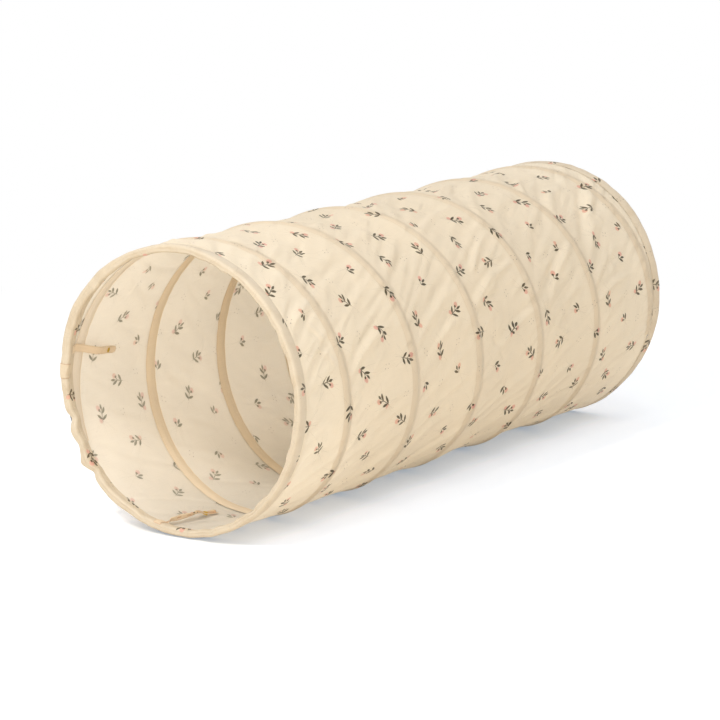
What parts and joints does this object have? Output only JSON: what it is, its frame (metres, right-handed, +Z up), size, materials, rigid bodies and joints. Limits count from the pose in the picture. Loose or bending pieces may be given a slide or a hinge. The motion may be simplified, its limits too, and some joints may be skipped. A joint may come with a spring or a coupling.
{
  "type": "kids play tunnel",
  "caption": "Crawl-through play tunnel: a printed cloth tube on a spiral spring wire, with soft rolled rims, that collapses along its length and is held folded by snap straps.",
  "frame": {"origin": "centre of the footprint, on the plane that the tunnel lies on", "axes": "+Y along the tunnel from its front opening to its rear one, +Z up, +X to the right seen from the front"},
  "size_m": [0.48, 1.2, 0.48],
  "materials": {
    "printed_cloth": "cream woven cloth with a small scattered sprig print",
    "casing_tape": "matte woven tape",
    "bare_patch": "matte cotton, bare",
    "spring_steel": "drawn wire",
    "brass": "satin"
  },
  "bodies": {
    "front_end": {"front_hem": "printed_cloth", "front_gusset": "printed_cloth", "spring_wire": "spring_steel", "front_wire_sleeve": "spring_steel", "left_hem_stud": "brass", "bottom_hem_stud": "brass", "hem_patch": "bare_patch"},
    "coil_1": {"cloth_panel_1": "printed_cloth", "casing_tape_1": "casing_tape"},
    "coil_2": {"cloth_panel_2": "printed_cloth", "casing_tape_2": "casing_tape"},
    "coil_3": {"cloth_panel_3": "printed_cloth", "casing_tape_3": "casing_tape"},
    "coil_4": {"cloth_panel_4": "printed_cloth", "casing_tape_4": "casing_tape"},
    "coil_5": {"cloth_panel_5": "printed_cloth", "casing_tape_5": "casing_tape"},
    "rear_end": {"rear_hem": "printed_cloth", "rear_gusset": "printed_cloth", "casing_tape_6": "casing_tape", "rear_wire_sleeve": "spring_steel"},
    "left_closing_strap": {"left_strap": "printed_cloth", "left_strap_snap": "brass"},
    "bottom_closing_strap": {"bottom_strap": "printed_cloth", "bottom_strap_snap": "brass"}
  },
  "joints": [
    {"name": "collapse_1", "type": "slide", "parent": "front_end", "child": "coil_1", "axis": [0, -1, 0], "range_m": [0, 0.19728], "stiffness_N_per_m": 90, "springref_m": -0.02, "deforming": ["front_gusset", "spring_wire", "cloth_panel_1", "casing_tape_1"]},
    {"name": "collapse_2", "type": "slide", "parent": "coil_1", "child": "coil_2", "axis": [0, -1, 0], "range_m": [0, 0.19728], "stiffness_N_per_m": 90, "springref_m": -0.02, "deforming": ["cloth_panel_2", "casing_tape_2"]},
    {"name": "collapse_3", "type": "slide", "parent": "coil_2", "child": "coil_3", "axis": [0, -1, 0], "range_m": [0, 0.19728], "stiffness_N_per_m": 90, "springref_m": -0.02, "deforming": ["cloth_panel_3", "casing_tape_3"]},
    {"name": "collapse_4", "type": "slide", "parent": "coil_3", "child": "coil_4", "axis": [0, -1, 0], "range_m": [0, 0.19728], "stiffness_N_per_m": 90, "springref_m": -0.02, "deforming": ["cloth_panel_4", "casing_tape_4"]},
    {"name": "collapse_5", "type": "slide", "parent": "coil_4", "child": "coil_5", "axis": [0, -1, 0], "range_m": [0, 0.19728], "stiffness_N_per_m": 90, "springref_m": -0.02, "deforming": ["cloth_panel_5", "casing_tape_5"]},
    {"name": "collapse_6", "type": "slide", "parent": "coil_5", "child": "rear_end", "axis": [0, -1, 0], "range_m": [0, 0.1233], "stiffness_N_per_m": 90, "springref_m": -0.02, "deforming": ["rear_gusset", "casing_tape_6"]},
    {"name": "left_strap_swing", "type": "hinge", "parent": "front_end", "child": "left_closing_strap", "pos_m": [-0.22754, -0.57586, 0.28526], "axis": [-0.1915, -0.1908, -0.9628], "range_deg": [0, 115]},
    {"name": "bottom_strap_swing", "type": "hinge", "parent": "front_end", "child": "bottom_closing_strap", "pos_m": [-0.04526, -0.57586, 0.01246], "axis": [0.9628, -0.1908, -0.1915], "range_deg": [0, 115]}
  ],
  "couplings": [
    {"joint": "collapse_2", "follows": "collapse_1", "ratio": 1},
    {"joint": "collapse_3", "follows": "collapse_1", "ratio": 1},
    {"joint": "collapse_4", "follows": "collapse_1", "ratio": 1},
    {"joint": "collapse_5", "follows": "collapse_1", "ratio": 1},
    {"joint": "collapse_6", "follows": "collapse_1", "ratio": 0.625}
  ]
}
